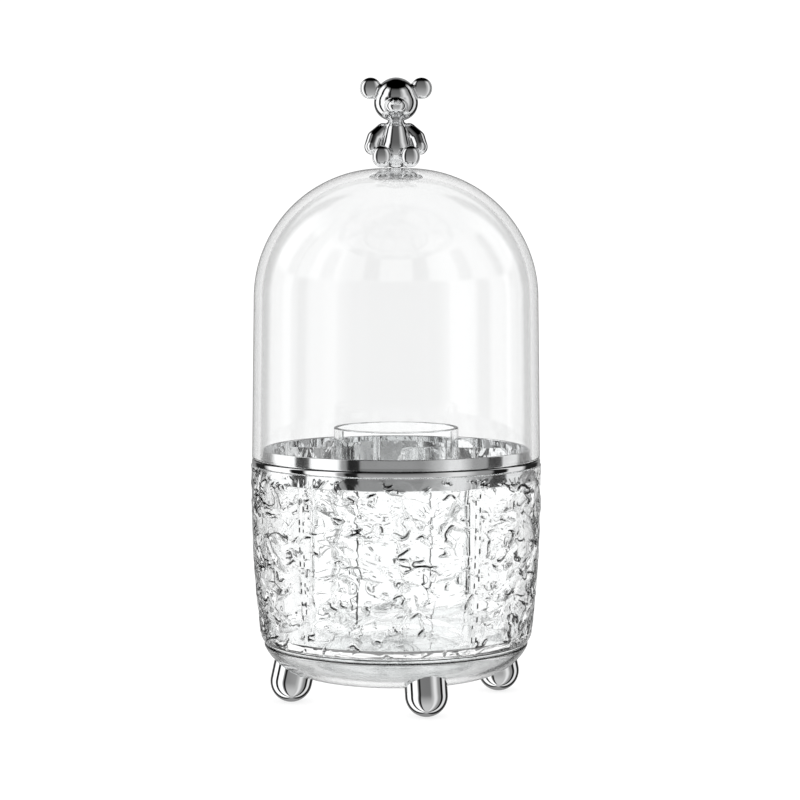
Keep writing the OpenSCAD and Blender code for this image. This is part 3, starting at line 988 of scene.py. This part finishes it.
# How often the ray was bent and mirrored, which tells what it comes from
path = add_node(room_tree, "LightPath").outputs
bent = path["Transmission Depth"]
mirrored = path["Glossy Depth"]
is_through = times(reckon("LESS_THAN", mirrored, 0.5), reckon("GREATER_THAN", bent, 0.5))
is_rim = times(reckon("COMPARE", mirrored, 1, 0.1), reckon("COMPARE", bent, 2, 0.1))
is_deep = times(reckon("GREATER_THAN", mirrored, 1.5), reckon("GREATER_THAN", bent, 1.5))
is_room = reckon("SUBTRACT", 1, reckon("ADD", is_through, is_rim))

# The room in the plating and on the outside of the clear walls
ceiling = read_at(CEILING, rise)
floor = read_at(FLOOR, rise)
front_wall = times(read_at(FRONT_WALL, rise), read_at(FRONT_SPAN, round_angle))
room = reckon("ADD", read_at(ROOM, round_angle), front_wall)
room = times(room, rest_of(ceiling))
room = reckon("ADD", times(room, rest_of(floor)), times(floor, FLOOR_GREY))

# The room straight through the clear walls, a little brighter the more walls are crossed
low_screens = read_at(LOW_SCREENS, quarter)
low_shade = times(low_screens, read_at(LOW_RISE, rise))
high_shade = times(read_at(HIGH_SCREENS, quarter), read_at(HIGH_RISE, rise))
strip_shade = times(read_at(STRIP_RISE, rise), read_at(STRIPS, quarter))
shade = reckon("MAXIMUM", reckon("MAXIMUM", low_shade, high_shade), reckon("MAXIMUM", strip_shade, ceiling))
extra_walls = reckon("MAXIMUM", reckon("SUBTRACT", bent, WALLS_CROSSED), 0)
through = times(read_at(WALL_GLOW, rise), rest_of(shade))
through = times(through, reckon("ADD", 1, times(WALL_REGAIN, extra_walls)))

# The room turned round in a rim, and deep inside the barrel
slope = times(read_at(SLOPE_RISE, rise), low_screens)
rim_line = times(read_at(RIM_LINE, round_angle), read_at(RIM_RISE, rise))
rim = times(read_at(RIM_LIGHT, round_angle), rest_of(rim_line))
rim = times(rim, rest_of(slope))
behind = times(read_at(BEHIND, round_angle), reckon("GREATER_THAN", bent, WALLS_CROSSED + 0.5))
walled = times(read_at(LOW_DOWN, rise), reckon("GREATER_THAN", bent, 1.5))
deep = toward(toward(room, BEHIND_LIGHT, behind), LOW_LIGHT, walled)
deep = times(deep, rest_of(times(reckon("MAXIMUM", walled, is_deep), slope)))

seen = reckon("MULTIPLY_ADD", rim, is_rim, times(deep, is_room))
seen = reckon("MULTIPLY_ADD", through, is_through, seen)
plain = reckon("MAXIMUM", path["Is Camera Ray"], path["Is Diffuse Ray"])
light = reckon("ADD", times(plain, BACKDROP_LIGHT), times(seen, rest_of(plain)))
backdrop = add_node(room_tree, "Background", {"Color": (1, 1, 1, 1), "Strength": light})
add_node(room_tree, "OutputWorld", {"Surface": backdrop.outputs["Background"]})

scene.view_settings.view_transform = "Standard"
scene.cycles.max_bounces = 32
scene.cycles.transmission_bounces = 32
scene.cycles.glossy_bounces = 16
scene.cycles.sample_clamp_indirect = 4


# ==== Camera ====
# A long lens as high as the dome's middle, tilted and shifted down to the organiser, which
# stands a little left of it.

LENS = 112.05
LENS_SHIFT = -0.05
CAMERA_AT = (0.0019, -1.1981, 0.2354)
CAMERA_TILT = 3.44

lens = bpy.data.cameras.new("camera")
lens.lens = LENS
lens.sensor_width = 36
lens.shift_y = LENS_SHIFT
lens.clip_start = 0.05
lens.clip_end = 30
camera = bpy.data.objects.new("camera", lens)
scene.collection.objects.link(camera)
camera.location = CAMERA_AT
camera.rotation_euler = (math.radians(90 - CAMERA_TILT), 0, 0)
scene.camera = camera
